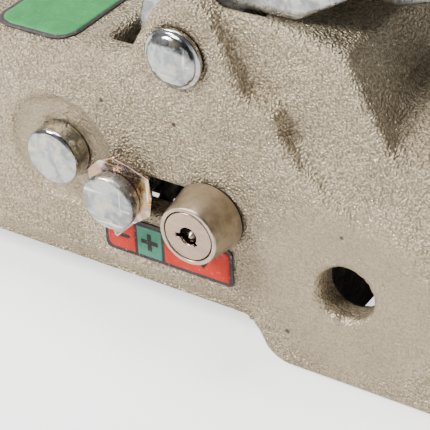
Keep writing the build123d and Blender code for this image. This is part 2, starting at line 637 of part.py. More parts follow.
with BuildPart() as handle_rivets:
    for x in (PIVOT_X + 20, PIVOT_X + 32):
        with BuildSketch(Plane.XY.offset(bar_low)):
            with Locations((x, 0)):
                Circle(3)
        extrude(amount=BAR_THICKNESS + YOKE_PLATE)
        with BuildSketch(Plane.XY.offset(YOKE_TOP_Z)):
            with Locations((x, 0)):
                Circle(5.5)
        extrude(amount=2.4, taper=25)
        with BuildSketch(Plane.XY.offset(bar_low)):
            with Locations((x, 0)):
                Circle(5)
        extrude(amount=-1.6)
finish_piece(handle_rivets, "handle_rivets")

grip_low = bar_low + BAR_RISE - GRIP_SKIN
grip_high = bar_low + BAR_RISE + BAR_THICKNESS + GRIP_SKIN
TRIGGER_X = GRIP_START_X + 6
TRIGGER_Z = grip_low + 3
TRIGGER_HALF = 5.0
with BuildPart() as handle_grip:
    with BuildSketch(Plane.YZ.offset(GRIP_START_X)):
        with Locations((0, (grip_low + grip_high) / 2)):
            RectangleRounded(2 * GRIP_HALF, grip_high - grip_low, 7)
    extrude(amount=BAR_END_X - GRIP_START_X + 7)
    with BuildSketch(Plane.YZ.offset(GRIP_START_X)):
        with Locations((0, bar_low + BAR_RISE + BAR_THICKNESS / 2)):
            Rectangle(2 * BAR_HALF, BAR_THICKNESS)
    extrude(amount=BAR_END_X - GRIP_START_X, mode=Mode.SUBTRACT)
    # slot for the trigger and the hole for its pin
    with BuildSketch(Plane.XZ):
        with Locations((GRIP_START_X + 26, grip_low + GRIP_SKIN / 2 - 0.5)):
            Rectangle(54, GRIP_SKIN)
    extrude(amount=TRIGGER_HALF + 0.4, both=True, mode=Mode.SUBTRACT)
    with BuildSketch(side_plane(TRIGGER_X, TRIGGER_Z)):
        Circle(TRIGGER_PIN_R)
    extrude(amount=12, both=True, mode=Mode.SUBTRACT)
finish_piece(handle_grip, "handle_grip")

trigger_pin = turned_on_y(TRIGGER_X, TRIGGER_Z, (
    (0, -12), (TRIGGER_PIN_R, -12), (TRIGGER_PIN_R, 12), (0, 12),
))
finish_piece(trigger_pin, "trigger_pin")

with BuildPart() as release_trigger:
    with BuildSketch(side_plane(TRIGGER_X, TRIGGER_Z)):
        Circle(3)
        Polygon((0, -3), (38, -9.5), (40, -7.5), (38, -5.2), (0, 2.6), align=None)
        Circle(TRIGGER_PIN_R + PIVOT_RUN_GAP, mode=Mode.SUBTRACT)
    extrude(amount=TRIGGER_HALF, both=True)
finish_piece(release_trigger, "release_trigger")

# ======================= plug-in cylinder lock =======================
seal_y = -HALF - SEAL_THICKNESS
face_y = -HALF - LOCK_PROUD
SHANK_R = SLOT_HALF - SHANK_GAP
shank_centres = 2 * (SHANK_HALF_LENGTH - SHANK_R)
shank_end_y = -INNER_HALF + 0.3
core_floor_y = -HALF - 2.1

with BuildPart() as lock_seal:
    with BuildSketch(side_plane(LOCK_X, BOLT_Z, -HALF)):
        Circle(LOCK_BASE_R - 0.15)
        SlotCenterToCenter(shank_centres, 2 * SHANK_R, mode=Mode.SUBTRACT)
    extrude(amount=SEAL_THICKNESS)
finish_piece(lock_seal, "lock_seal")

with BuildPart() as lock_barrel:
    cone = turned_on_y(LOCK_X, BOLT_Z, (
        (0, seal_y), (LOCK_BASE_R - 0.3, seal_y), (LOCK_BASE_R, seal_y - 0.3),
        (LOCK_FACE_R, face_y + 0.3), (LOCK_FACE_R - 0.3, face_y), (0, face_y),
    ))
    add(cone.part)
    with BuildSketch(side_plane(LOCK_X, BOLT_Z, shank_end_y)):
        SlotCenterToCenter(shank_centres, 2 * SHANK_R)
    extrude(amount=shank_end_y - seal_y)
    with BuildSketch(side_plane(LOCK_X, BOLT_Z, core_floor_y)):
        Circle(CORE_R + TURN_GAP)
    extrude(amount=core_floor_y - face_y, mode=Mode.SUBTRACT)
    with BuildSketch(side_plane(LOCK_X, BOLT_Z, shank_end_y)):
        Circle(SPINDLE_R + TURN_GAP)
    extrude(amount=shank_end_y - core_floor_y, mode=Mode.SUBTRACT)
finish_piece(lock_barrel, "lock_barrel")

CAM_Y = shank_end_y + 0.2
KEYWAY_R = 1.9
KEYWAY_LENGTH = 5.6
KEYWAY_WIDTH = 1.3
KEYWAY_DEPTH = 7.0
WAFER_THICKNESS = 0.8
WAFER_PITCH = 1.5
WAFER_HALF = 5.3
SCREW_R = 1.25
with BuildPart() as lock_core:
    body = turned_on_y(LOCK_X, BOLT_Z, (
        (0, face_y + 0.1), (CORE_R - 0.2, face_y + 0.1), (CORE_R, face_y + 0.3), (CORE_R, core_floor_y - 0.2),
        (SPINDLE_R, core_floor_y - 0.2), (SPINDLE_R, CAM_Y + CAM_THICKNESS), (0, CAM_Y + CAM_THICKNESS),
    ))
    add(body.part)
    with BuildSketch(side_plane(LOCK_X, BOLT_Z, face_y + KEYWAY_DEPTH)):
        Circle(KEYWAY_R)
        with Locations((0, -KEYWAY_R / 2)):
            Rectangle(KEYWAY_WIDTH, KEYWAY_LENGTH)
    extrude(amount=KEYWAY_DEPTH, mode=Mode.SUBTRACT)
    for i in range(WAFER_COUNT):
        with BuildSketch(side_plane(LOCK_X, BOLT_Z, face_y + 1.6 + i * WAFER_PITCH)):
            Rectangle(5, 2 * WAFER_HALF)
        extrude(amount=-WAFER_THICKNESS - 0.1, mode=Mode.SUBTRACT)
    with BuildSketch(side_plane(LOCK_X, BOLT_Z, CAM_Y + CAM_THICKNESS)):
        Circle(SCREW_R)
    extrude(amount=5, mode=Mode.SUBTRACT)
finish_piece(lock_core, "lock_core")

with BuildPart() as lock_wafers:
    for i in range(WAFER_COUNT):
        with BuildSketch(side_plane(LOCK_X, BOLT_Z, face_y + 1.65 + i * WAFER_PITCH)):
            Rectangle(4.8, 2 * WAFER_HALF - 0.2)
            with Locations((0, -0.5)):
                Rectangle(2.4, 5.2 - 0.5 * (i % 3), mode=Mode.SUBTRACT)
        extrude(amount=-WAFER_THICKNESS)
finish_piece(lock_wafers, "lock_wafers")

with BuildPart() as lock_cam:
    with BuildSketch(side_plane(LOCK_X, BOLT_Z, CAM_Y)):
        SlotCenterToCenter(shank_centres, 2 * SHANK_R)
        Circle(SPINDLE_R, mode=Mode.SUBTRACT)
    extrude(amount=-CAM_THICKNESS)
finish_piece(lock_cam, "lock_cam")

screw_y = CAM_Y + CAM_THICKNESS
cam_screw = turned_on_y(LOCK_X, BOLT_Z, (
    (0, screw_y - 4.5), (SCREW_R, screw_y - 4.5), (SCREW_R, screw_y), (3.6, screw_y),
    (3.6, screw_y + 0.8), (2.8, screw_y + 1.6), (0, screw_y + 1.6),
))
finish_piece(cam_screw, "cam_screw")

# lever ratio for the record: catch travel over lever angle
lift = math.atan2(BOLT_X + CATCH_TRAVEL - PIVOT_X, -arm_z) - math.atan2(arm_x, -arm_z)
print("lever lift", round(math.degrees(lift), 4), "deg; ratio", round(CATCH_TRAVEL / 1000 / lift, 6), "m/rad")
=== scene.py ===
# %% [markdown]
# # A lockable trailer coupler head
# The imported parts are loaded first. They are a fixed frame in metres: the tow ball's centre is the
# origin, +X runs back along the drawbar, +Z is up, and the plug-in lock is on the -Y side. New pieces
# take their places from the loaded parts' boxes, so nothing is fitted by eye.

# %% load the frame
import math

import bmesh
import bpy
import numpy as np
from mathutils import Matrix, Vector


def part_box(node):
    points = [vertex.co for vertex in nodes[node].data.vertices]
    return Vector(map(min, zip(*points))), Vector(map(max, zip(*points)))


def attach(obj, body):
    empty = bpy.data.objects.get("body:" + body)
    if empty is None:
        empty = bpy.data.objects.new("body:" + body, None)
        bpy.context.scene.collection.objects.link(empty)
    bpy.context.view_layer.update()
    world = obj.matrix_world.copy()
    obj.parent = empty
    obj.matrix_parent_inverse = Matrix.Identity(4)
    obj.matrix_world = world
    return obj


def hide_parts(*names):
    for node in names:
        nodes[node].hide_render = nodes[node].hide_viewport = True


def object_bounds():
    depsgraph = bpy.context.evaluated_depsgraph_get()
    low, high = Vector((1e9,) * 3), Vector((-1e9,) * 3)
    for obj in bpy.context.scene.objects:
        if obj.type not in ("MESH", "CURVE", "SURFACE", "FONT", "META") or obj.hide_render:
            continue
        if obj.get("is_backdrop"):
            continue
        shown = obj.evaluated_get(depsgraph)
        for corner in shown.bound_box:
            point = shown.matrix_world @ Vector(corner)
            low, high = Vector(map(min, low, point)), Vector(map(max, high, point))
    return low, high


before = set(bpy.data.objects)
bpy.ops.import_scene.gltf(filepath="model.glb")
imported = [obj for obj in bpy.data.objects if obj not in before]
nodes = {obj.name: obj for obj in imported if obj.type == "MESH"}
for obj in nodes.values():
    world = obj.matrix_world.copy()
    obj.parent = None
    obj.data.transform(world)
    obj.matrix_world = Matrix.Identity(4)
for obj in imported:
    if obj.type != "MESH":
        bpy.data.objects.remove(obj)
cad_low, cad_high = (tuple(corner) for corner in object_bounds())

MM = 0.001
for material in list(bpy.data.materials):
    material.name = "loaded_" + material.name


def middle(node):
    """Centre of a part's box, as a numpy point."""
    low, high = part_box(node)
    return (np.array(low) + np.array(high)) / 2


# %% [markdown]
# ## Camera
# A long lens close to the lock side. The camera looks at a point on the near wall from the right and
# above, and is rolled a few degrees, so its axes are worked out and put straight into its matrix. A
# track-to constraint would do the same without the roll.

# %% camera
WALL_Y = -32.5 * MM
TARGET = np.array([95.6 * MM, WALL_Y, 0.0])
DISTANCE = 367.2 * MM
AZIMUTH, ELEVATION, ROLL = (math.radians(a) for a in (34.22, 33.88, -3.04))

back = np.array([math.sin(AZIMUTH) * math.cos(ELEVATION),
                 -math.cos(AZIMUTH) * math.cos(ELEVATION), math.sin(ELEVATION)])
level = np.array([math.cos(AZIMUTH), math.sin(AZIMUTH), 0.0])
upward = np.cross(back, level)
cam_x = level * math.cos(ROLL) + upward * math.sin(ROLL)
cam_y = upward * math.cos(ROLL) - level * math.sin(ROLL)

camera = bpy.data.objects.new("camera", bpy.data.cameras.new("camera"))
bpy.context.collection.objects.link(camera)
camera.data.sensor_width = 36.0
camera.data.lens = 142.3
camera.data.clip_start = 0.01
camera.matrix_world = Matrix([
    [cam_x[i], cam_y[i], back[i], TARGET[i] + back[i] * DISTANCE] for i in range(3)
] + [[0, 0, 0, 1]])
bpy.context.scene.camera = camera
print("camera at", np.round(np.array(camera.matrix_world.translation) / MM, 1), "mm")

# %% [markdown]
# ## Helpers for meshes
# Every new piece is a grid of points computed as whole arrays. A closed sheet has a front, a back and
# a rim, and a turned piece is a profile swept round an axis with both poles closed. The enclosed
# volume is measured after each one: if it is negative, the faces are turned round.

# %% mesh helpers
def volume_of(points, faces):
    """Sum of the signed tetrahedra from the origin to each triangle of a fan over every face."""
    total = 0.0
    for corner in range(1, faces.shape[1] - 1):
        a, b, c = (points[faces[:, k]] for k in (0, corner, corner + 1))
        total += np.einsum("ij,ij->i", a, np.cross(b, c)).sum() / 6
    return total


def make_piece(name, points, quads, tris, body, slot_name, material, stands_for=()):
    """One closed mesh object from quad and triangle arrays, facing outwards, riding on a body."""
    volume = volume_of(points, quads) + (volume_of(points, tris) if len(tris) else 0.0)
    if volume < 0:
        quads = quads[:, ::-1]
        tris = tris[:, ::-1] if len(tris) else tris
    mesh = bpy.data.meshes.new(name)
    mesh.from_pydata(points.tolist(), [], quads.tolist() + (tris.tolist() if len(tris) else []))
    mesh.polygons.foreach_set("use_smooth", np.ones(len(mesh.polygons), dtype=bool))
    mesh.materials.append(material)
    piece = bpy.data.objects.new(name, mesh)
    bpy.context.collection.objects.link(piece)
    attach(piece, body)
    if stands_for:
        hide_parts(*stands_for)
    print(name, len(mesh.polygons), "faces,", round(abs(volume) * 1e9, 1), "mm3")
    return piece


def grid_quads(rows, columns, wrap=False):
    """Quads of a rows x columns grid of points; wrap joins the last column to the first."""
    r = np.arange(rows - 1)[:, None]
    c = np.arange(columns if wrap else columns - 1)[None, :]
    nxt = (c + 1) % columns
    return np.stack([r * columns + c, r * columns + nxt, (r + 1) * columns + nxt,
                     (r + 1) * columns + c], axis=-1).reshape(-1, 4)


def rounded(corners, radius=0.4, steps=4):
    """Profile with soft corners: each inner corner becomes a quadratic curve between its two sides."""
    corners = np.array(corners, dtype=float)
    line = [corners[:1]]
    t = np.linspace(0, 1, steps)[:, None]
    for before, here, after in zip(corners[:-2], corners[1:-1], corners[2:]):
        reach_a = min(radius, np.linalg.norm(before - here) * 0.45)
        reach_b = min(radius, np.linalg.norm(after - here) * 0.45)
        a = here + (before - here) / np.linalg.norm(before - here) * reach_a
        b = here + (after - here) / np.linalg.norm(after - here) * reach_b
        line.append((1 - t) ** 2 * a + 2 * t * (1 - t) * here + t ** 2 * b)
    line.append(corners[-1:])
    return np.concatenate(line)


def turned(profile, centre, around=96, reach=None):
    """Points and faces of a profile of (radius, height) pairs in mm turned about the -Y direction
    through centre: x = r cos t, z = r sin t, y = -height. reach(angle, radius, row) may bend the
    radius with the angle. The first and last profile points are the two poles."""
    profile = np.array(profile, dtype=float)
    angle = np.linspace(0, 2 * np.pi, around, endpoint=False)
    radius = np.repeat(profile[1:-1, :1], around, axis=1)
    if reach is not None:
        radius = reach(angle[None, :], radius, np.arange(1, len(profile) - 1)[:, None])
    ring = np.stack([radius * np.cos(angle), np.repeat(-profile[1:-1, 1:], around, axis=1),
                     radius * np.sin(angle)], axis=-1).reshape(-1, 3)
    poles = np.array([[0, -profile[0, 1], 0], [0, -profile[-1, 1], 0]])
    points = np.concatenate([ring, poles]) * MM + np.array(centre)
    rows = len(profile) - 2
    quads = grid_quads(rows, around, wrap=True)
    k = np.arange(around)
    nxt = (k + 1) % around
    first = np.stack([np.full(around, len(ring)), nxt, k], axis=-1)
    last = np.stack([np.full(around, len(ring) + 1), k + (rows - 1) * around,
                     nxt + (rows - 1) * around], axis=-1)
    return points, quads, np.concatenate([first, last])


def sheet_between(front, back_side):
    """Closed sheet from two matching grids of points: front, back and the four sides of the rim."""
    rows, columns, _ = front.shape
    points = np.concatenate([front.reshape(-1, 3), back_side.reshape(-1, 3)])
    top = grid_quads(rows, columns)
    under = top[:, ::-1] + rows * columns
    index = np.arange(rows * columns).reshape(rows, columns)
    loop = np.concatenate([index[0], index[1:, -1], index[-1, -2::-1], index[-2:0:-1, 0]])
    nxt = np.roll(loop, -1)
    shift = rows * columns
    rim = np.stack([nxt, loop, loop + shift, nxt + shift], axis=-1)
    return points, np.concatenate([top, under, rim]), np.zeros((0, 3), dtype=int)


def on_wall(x, z, height):
    """Points in metres on the near wall, from x and z in mm and a height out of the wall in mm."""
    x, z = np.broadcast_arrays(x, z)
    return np.stack([x * MM, np.full(x.shape, WALL_Y) - np.asarray(height) * MM, z * MM], axis=-1)


# %% [markdown]
# ## Soft copies
# A cast or pressed part has no sharp edge anywhere. Bevelling a CAD mesh is fragile, because its faces
# are loose triangles of all sizes. So a merged copy is remeshed into small even squares, and every
# point is drawn towards the average of its neighbours a few times, which rounds the edges and fills
# the inner corners as sand casting does.

# %% soft copies
def even_copy(parts, voxel):
    """Arrays of one remeshed, merged copy of the named parts: points in metres, quads, tris, edges."""
    bm = bmesh.new()
    for part in parts:
        bm.from_mesh(nodes[part].data)
    bmesh.ops.remove_doubles(bm, verts=bm.verts, dist=1e-6)
    copy = bpy.data.meshes.new("copy")
    bm.to_mesh(copy)
    bm.free()
    carrier = bpy.data.objects.new("carrier", copy)
    bpy.context.collection.objects.link(carrier)
    remesh = carrier.modifiers.new("even", "REMESH")
    remesh.mode = "VOXEL"
    remesh.voxel_size = voxel * MM
    graph = bpy.context.evaluated_depsgraph_get()
    result = bpy.data.meshes.new_from_object(carrier.evaluated_get(graph))
    bpy.data.objects.remove(carrier)
    points = np.empty(len(result.vertices) * 3)
    result.vertices.foreach_get("co", points)
    sizes = np.empty(len(result.polygons), dtype=int)
    result.polygons.foreach_get("loop_total", sizes)
    corners = np.empty(len(result.loops), dtype=int)
    result.loops.foreach_get("vertex_index", corners)
    edges = np.empty(len(result.edges) * 2, dtype=int)
    result.edges.foreach_get("vertices", edges)
    starts = np.concatenate([[0], np.cumsum(sizes)[:-1]])
    quads = corners[starts[sizes == 4][:, None] + np.arange(4)]
    tris = corners[starts[sizes == 3][:, None] + np.arange(3)]
    bpy.data.meshes.remove(result)
    return points.reshape(-1, 3), quads, tris, edges.reshape(-1, 2)


def relax(points, edges, passes, amount=0.5):
    """Each pass moves every point by amount towards the mean of the points it shares an edge with."""
    a, b = edges.T
    count = np.bincount(np.concatenate([a, b]), minlength=len(points))[:, None]
    for _ in range(passes):
        mean = np.stack([np.bincount(np.concatenate([a, b]), np.concatenate([points[b, i], points[a, i]]),
                                     minlength=len(points)) for i in range(3)], axis=-1) / count
        points = points + amount * (mean - points)
    return points


def normals_of(points, quads):
    """Area-weighted point normals from the quads' diagonals."""
    face = np.cross(points[quads[:, 2]] - points[quads[:, 0]], points[quads[:, 3]] - points[quads[:, 1]])
    total = np.stack([np.bincount(quads.ravel(), np.repeat(face[:, i], 4), minlength=len(points))
                      for i in range(3)], axis=-1)
    return total / np.maximum(np.linalg.norm(total, axis=1, keepdims=True), 1e-12)


def soften(node, name, body, slot_name, material, voxel, passes):
    """Soft copy of a part, standing for it."""
    points, quads, tris, edges = even_copy((node,), voxel)
    points = relax(points, edges, passes)
    return make_piece(name, points, quads, tris, body, slot_name, material, (node,))


# %% [markdown]
# ## Shader groups
# An effect that several finishes share is a node group with named inputs and outputs. All of them read
# object coordinates in metres, so one millimetre of grain is one millimetre on every piece. Groups put
# out masks, colours and heights, and each material keeps its own Principled shader.

# %% node helpers
def place(tree, kind, inputs=None, **settings):
    """Adds a shader node. Inputs are plain values or sockets to link; settings are node properties."""
    node = tree.nodes.new("ShaderNode" + kind)
    for name, value in settings.items():
        setattr(node, name, value)
    for name, value in (inputs or {}).items():
        socket = node.inputs[name]
        if isinstance(value, bpy.types.NodeSocket):
            tree.links.new(value, socket)
        else:
            socket.default_value = value
    return node


def sums(tree, operation, a, b=0.0, c=0.0):
    """One Math node's result."""
    return place(tree, "Math", {0: a, 1: b, 2: c}, operation=operation).outputs[0]


def between(tree, value, low, high, to_low=0.0, to_high=1.0):
    """Value rescaled smoothly from low..high to to_low..to_high."""
    return place(tree, "MapRange", {"Value": value, "From Min": low, "From Max": high,
                                    "To Min": to_low, "To Max": to_high},
                 interpolation_type="SMOOTHSTEP").outputs[0]


def blend_colours(tree, mask, a, b, how="MIX"):
    """Colour a where the mask is 0 and b where it is 1."""
    node = place(tree, "Mix", data_type="RGBA", blend_type=how)
    for socket, value in ((node.inputs[0], mask), (node.inputs[6], a), (node.inputs[7], b)):
        if isinstance(value, bpy.types.NodeSocket):
            tree.links.new(value, socket)
        else:
            socket.default_value = value
    return node.outputs[2]


def new_group(name, inputs, outputs):
    """Empty node group with its sockets; returns the group and its inner input and output nodes."""
    group = bpy.data.node_groups.new(name, "ShaderNodeTree")
    for label, kind, value in inputs:
        socket = group.interface.new_socket(label, in_out="INPUT", socket_type="NodeSocket" + kind)
        socket.default_value = value
    for label, kind in outputs:
        group.interface.new_socket(label, in_out="OUTPUT", socket_type="NodeSocket" + kind)
    return group, group.nodes.new("NodeGroupInput"), group.nodes.new("NodeGroupOutput")


def srgb(r, g, b):
    """Linear colour from 0..255 display values."""
    c = np.array([r, g, b]) / 255
    return tuple(np.where(c <= 0.04045, c / 12.92, ((c + 0.055) / 1.055) ** 2.4).tolist()) + (1.0,)


POSITION = ("Vector", "Vector", (0, 0, 0))

# %% cast grain
# Lumps about a millimetre wide with finer grit on them. Peaks and Hollows mask the high and low grain; the
# casting paint colours the peaks as a painted highlight and the hollows as painted shade.
cast_grain, inside, out = new_group("cast_grain", [POSITION, ("Scale", "Float", 900.0)],
                                    [("Height", "Float"), ("Peaks", "Float"), ("Hollows", "Float")])
lumps = place(cast_grain, "TexNoise", {"Vector": inside.outputs[0], "Scale": inside.outputs[1],
                                       "Detail": 1.5, "Roughness": 0.5}).outputs[0]
blob_scale = sums(cast_grain, "MULTIPLY", inside.outputs[1], 0.8)
blobs = place(cast_grain, "TexVoronoi",
              {"Vector": inside.outputs[0], "Scale": blob_scale, "Smoothness": 0.4},
              feature="SMOOTH_F1").outputs["Distance"]
raised = sums(cast_grain, "SUBTRACT", 1.0, blobs)
height = sums(cast_grain, "MULTIPLY_ADD", raised, 0.45, sums(cast_grain, "MULTIPLY", lumps, 0.55))
cast_grain.links.new(height, out.inputs[0])
cast_grain.links.new(between(cast_grain, height, 0.60, 0.70), out.inputs[1])
cast_grain.links.new(between(cast_grain, height, 0.52, 0.42), out.inputs[2])

# %% round area
# 1 inside a circle seen along Y, falling to 0 over a soft edge: seats, pads and rings on the walls.
round_area, inside, out = new_group(
    "round_area", [POSITION, ("Centre", "Vector", (0, 0, 0)), ("Radius", "Float", 0.01),
                   ("Edge", "Float", 0.002)], [("Mask", "Float"), ("Distance", "Float")])
offset = place(round_area, "VectorMath", {0: inside.outputs[0], 1: inside.outputs[1]},
               operation="SUBTRACT").outputs[0]
flat = place(round_area, "VectorMath", {0: offset, 1: (1, 0, 1)}, operation="MULTIPLY").outputs[0]
distance = place(round_area, "VectorMath", {0: flat}, operation="LENGTH").outputs["Value"]
outside = sums(round_area, "SUBTRACT", distance, inside.outputs[2])
past = sums(round_area, "DIVIDE", outside, inside.outputs[3])
round_area.links.new(between(round_area, past, 0.0, 1.0, 1.0, 0.0), out.inputs[0])
round_area.links.new(distance, out.inputs[1])

# %% cloudy patches
# Slow changes of tone, as plating and old paint have.
cloudy, inside, out = new_group("cloudy_patches", [POSITION, ("Scale", "Float", 120.0)],
                                [("Mask", "Float"), ("Fine", "Float")])
wide = place(cloudy, "TexNoise", {"Vector": inside.outputs[0], "Scale": inside.outputs[1], "Detail": 3.0,
                                  "Roughness": 0.6, "Distortion": 0.6}).outputs[0]
fine_scale = sums(cloudy, "MULTIPLY", inside.outputs[1], 6.0)
fine = place(cloudy, "TexNoise",
             {"Vector": inside.outputs[0], "Scale": fine_scale, "Detail": 2.0}).outputs[0]
cloudy.links.new(between(cloudy, wide, 0.38, 0.64), out.inputs[0])
cloudy.links.new(fine, out.inputs[1])

# %% turned marks
# Rings left by a lathe about a Y axis: one-dimensional noise of the radius and of the height.
turned_marks, inside, out = new_group(
    "turned_marks", [POSITION, ("Centre", "Vector", (0, 0, 0)), ("Scale", "Float", 3000.0)],
    [("Height", "Float")])
rings = place(turned_marks, "Group", {}, node_tree=round_area)
turned_marks.links.new(inside.outputs[0], rings.inputs[0])
turned_marks.links.new(inside.outputs[1], rings.inputs[1])
radial = place(turned_marks, "TexNoise", {"W": rings.outputs[1], "Scale": inside.outputs[2], "Detail": 1.0},
               noise_dimensions="1D").outputs[0]
across = place(turned_marks, "SeparateXYZ", {0: inside.outputs[0]}).outputs[1]
lengthwise = place(turned_marks, "TexNoise", {"W": across, "Scale": inside.outputs[2], "Detail": 1.0},
                   noise_dimensions="1D").outputs[0]
turned_marks.links.new(sums(turned_marks, "ADD", radial, lengthwise), out.inputs[0])

# %% inner painted shade
# 1 in the ball socket and the mechanism bay, where the finishes take painted shade, broken up by noise.
inner_shade, inside, out = new_group("inner_painted_shade", [POSITION], [("Mask", "Float")])
axes = place(inner_shade, "SeparateXYZ", {0: inside.outputs[0]}).outputs
forward = sums(inner_shade, "MINIMUM", axes[0], 0.0)
above = sums(inner_shade, "MAXIMUM", axes[2], 0.0)
near_ball = place(inner_shade, "CombineXYZ", {0: forward, 1: axes[1], 2: above}).outputs[0]
reach = place(inner_shade, "VectorMath", {0: near_ball}, operation="LENGTH").outputs["Value"]
socket_mask = between(inner_shade, reach, 26.6 * MM, 26.2 * MM)
bay_mask = sums(inner_shade, "MULTIPLY", between(inner_shade, sums(inner_shade, "ABSOLUTE", axes[1]), 26.4 * MM, 26.0 * MM),
                between(inner_shade, axes[2], 25.0 * MM, 23.8 * MM))
bay_mask = sums(inner_shade, "MULTIPLY", bay_mask, sums(inner_shade, "LESS_THAN", axes[0], 112.4 * MM))
bay_mask = sums(inner_shade, "MULTIPLY", bay_mask, sums(inner_shade, "GREATER_THAN", axes[0], 0.0))
shade_breakup = place(inner_shade, "TexNoise", {"Vector": inside.outputs[0], "Scale": 220.0, "Detail": 3.0}).outputs[0]
both = sums(inner_shade, "MULTIPLY", sums(inner_shade, "MAXIMUM", socket_mask, bay_mask),
            between(inner_shade, shade_breakup, 0.2, 0.5, 0.75, 1.0))
inner_shade.links.new(both, out.inputs[0])
# painted shade: the dark colour taken by the inside of the ball socket and mechanism bay
INNER_SHADE_COLOUR = (38, 30, 24)

# %% scratches
# Thin lines in two directions, broken up by a wider noise.
scratches, inside, out = new_group("scratches", [POSITION, ("Scale", "Float", 600.0)],
                                   [("Lines", "Float")])
lines = []
for turn, stretch in (((0.3, 0.8, 0.2), (1.0, 1.0, 0.06)), ((0.9, -0.4, 1.1), (0.05, 1.0, 1.0))):
    bent = place(scratches, "Mapping", {"Vector": inside.outputs[0], "Rotation": turn, "Scale": stretch})
    noise = place(scratches, "TexNoise", {"Vector": bent.outputs[0], "Scale": inside.outputs[1],
                                          "Detail": 2.0}).outputs[0]
    lines.append(between(scratches, noise, 0.62, 0.70))
scratches.links.new(sums(scratches, "MAXIMUM", lines[0], lines[1]), out.inputs[0])


# %% [markdown]
# ## Finishes
# The casting is coated in a sand-coloured metallic paint over a rough sand-cast skin. Pins, bolt and
# lever are zinc plated, the retainer has a yellow chromate film, the lock is nickel on brass. Each
# finish mixes two or three tones with a mask from the groups and adds a fine bump.

# %% material helper
def finish_of(name, base, roughness, metallic=0.0, height=None, bump=0.3, depth=0.0002, shade_inside=False,
              **plain):
    """Material with one Principled shader. base, roughness and height are functions of the tree and
    its object coordinates that return a socket; plain values go on the shader's own sockets. A finish
    flagged for it takes painted shade inside the ball socket and mechanism bay: dark, dull and
    non-metallic."""
    material = bpy.data.materials.new(name)
    material.use_nodes = True
    tree = material.node_tree
    tree.nodes.clear()
    shader = place(tree, "BsdfPrincipled")
    output = place(tree, "OutputMaterial")
    tree.links.new(shader.outputs[0], output.inputs[0])
    where = place(tree, "TexCoord").outputs["Object"]
    shader.inputs["Metallic"].default_value = metallic
    colour, rough = base(tree, where), roughness(tree, where) if callable(roughness) else roughness
    # painted shade: inside the ball socket and mechanism bay the colour turns dark, the finish duller and
    # non-metallic
    if shade_inside:
        inner_shade_amount = use(tree, inner_shade, where)
        colour = blend_colours(tree, inner_shade_amount, colour, srgb(*INNER_SHADE_COLOUR))
        rough = sums(tree, "MULTIPLY_ADD", inner_shade_amount, 0.4, rough)
        tree.links.new(between(tree, inner_shade_amount, 0.0, 0.7, metallic, 0.0), shader.inputs["Metallic"])
    tree.links.new(colour, shader.inputs["Base Color"])
    if isinstance(rough, float):
        shader.inputs["Roughness"].default_value = rough
    else:
        tree.links.new(rough, shader.inputs["Roughness"])
    if height is not None:
        bumped = place(tree, "Bump", {"Strength": bump, "Distance": depth, "Height": height(tree, where)})
        tree.links.new(bumped.outputs[0], shader.inputs["Normal"])
    for socket, value in plain.items():
        shader.inputs[socket.replace("_", " ")].default_value = value
    return material


def use(tree, group, where, output=0, **values):
    """Places a group on the object coordinates with its own values and returns one of its outputs."""
    node = place(tree, "Group", None, node_tree=group)
    tree.links.new(where, node.inputs["Vector"])
    for name, value in values.items():
        node.inputs[name].default_value = value
    return node.outputs[output]


# %% casting paint
guide_at = middle("guide_pin")
hole_at = (127.4 * MM, 0.0, -10.4 * MM)
GRAIN_SCALE = 2100.0
SMOOTH_AREAS = ((tuple(guide_at), 0.0125, 0.0025), (hole_at, 0.016, 0.012))


def smooth_mask(tree, where):
    """1 on the machined seat of the guide pin and on the pad round the cross bolt's hole."""
    masks = [use(tree, round_area, where, 0, Centre=c, Radius=r, Edge=e) for c, r, e in SMOOTH_AREAS]
    return sums(tree, "MAXIMUM", masks[0], masks[1])


def cast_colour(tree, where):
    patches = use(tree, cloudy, where, 0, Scale=45.0)
    sand = blend_colours(tree, patches, srgb(190, 176, 150), srgb(174, 159, 134))
    # painted highlight: the grain's peaks are coloured a pale bright sand
    peak_highlight_mask = use(tree, cast_grain, where, 1, Scale=GRAIN_SCALE)
    painted_peak_highlight = blend_colours(tree, peak_highlight_mask, sand, srgb(240, 227, 198))
    # painted shade: the grain's hollows are coloured dark brown
    hollow_shade_mask = use(tree, cast_grain, where, 2, Scale=GRAIN_SCALE)
    shaded = blend_colours(tree, sums(tree, "MULTIPLY", hollow_shade_mask, 0.45), painted_peak_highlight, srgb(92, 78, 58))
    calm = blend_colours(tree, sums(tree, "MULTIPLY", smooth_mask(tree, where), 0.6), shaded,
                         srgb(160, 145, 120))
    pit = place(tree, "TexVoronoi", {"Vector": where, "Scale": 75.0, "Randomness": 1.0}).outputs["Distance"]
    return blend_colours(tree, between(tree, pit, 0.060, 0.035), calm, srgb(84, 72, 60))


def cast_roughness(tree, where):
    rough = between(tree, use(tree, cast_grain, where, 1, Scale=GRAIN_SCALE), 0.0, 1.0, 0.42, 0.20)
    return sums(tree, "ADD", rough, sums(tree, "MULTIPLY", use(tree, cloudy, where, 0, Scale=90.0), 0.07))


def cast_height(tree, where):
    grain = use(tree, cast_grain, where, 0, Scale=GRAIN_SCALE)
    kept = between(tree, smooth_mask(tree, where), 0.0, 1.0, 1.0, 0.35)
    wide = use(tree, cloudy, where, 1, Scale=55.0)
    return sums(tree, "ADD", sums(tree, "MULTIPLY", grain, kept), sums(tree, "MULTIPLY", wide, 0.9))


cast_paint = finish_of("cast_paint", cast_colour, cast_roughness, 0.66, cast_height, 1.0, 0.0011, True,
                       Specular_IOR_Level=0.5)


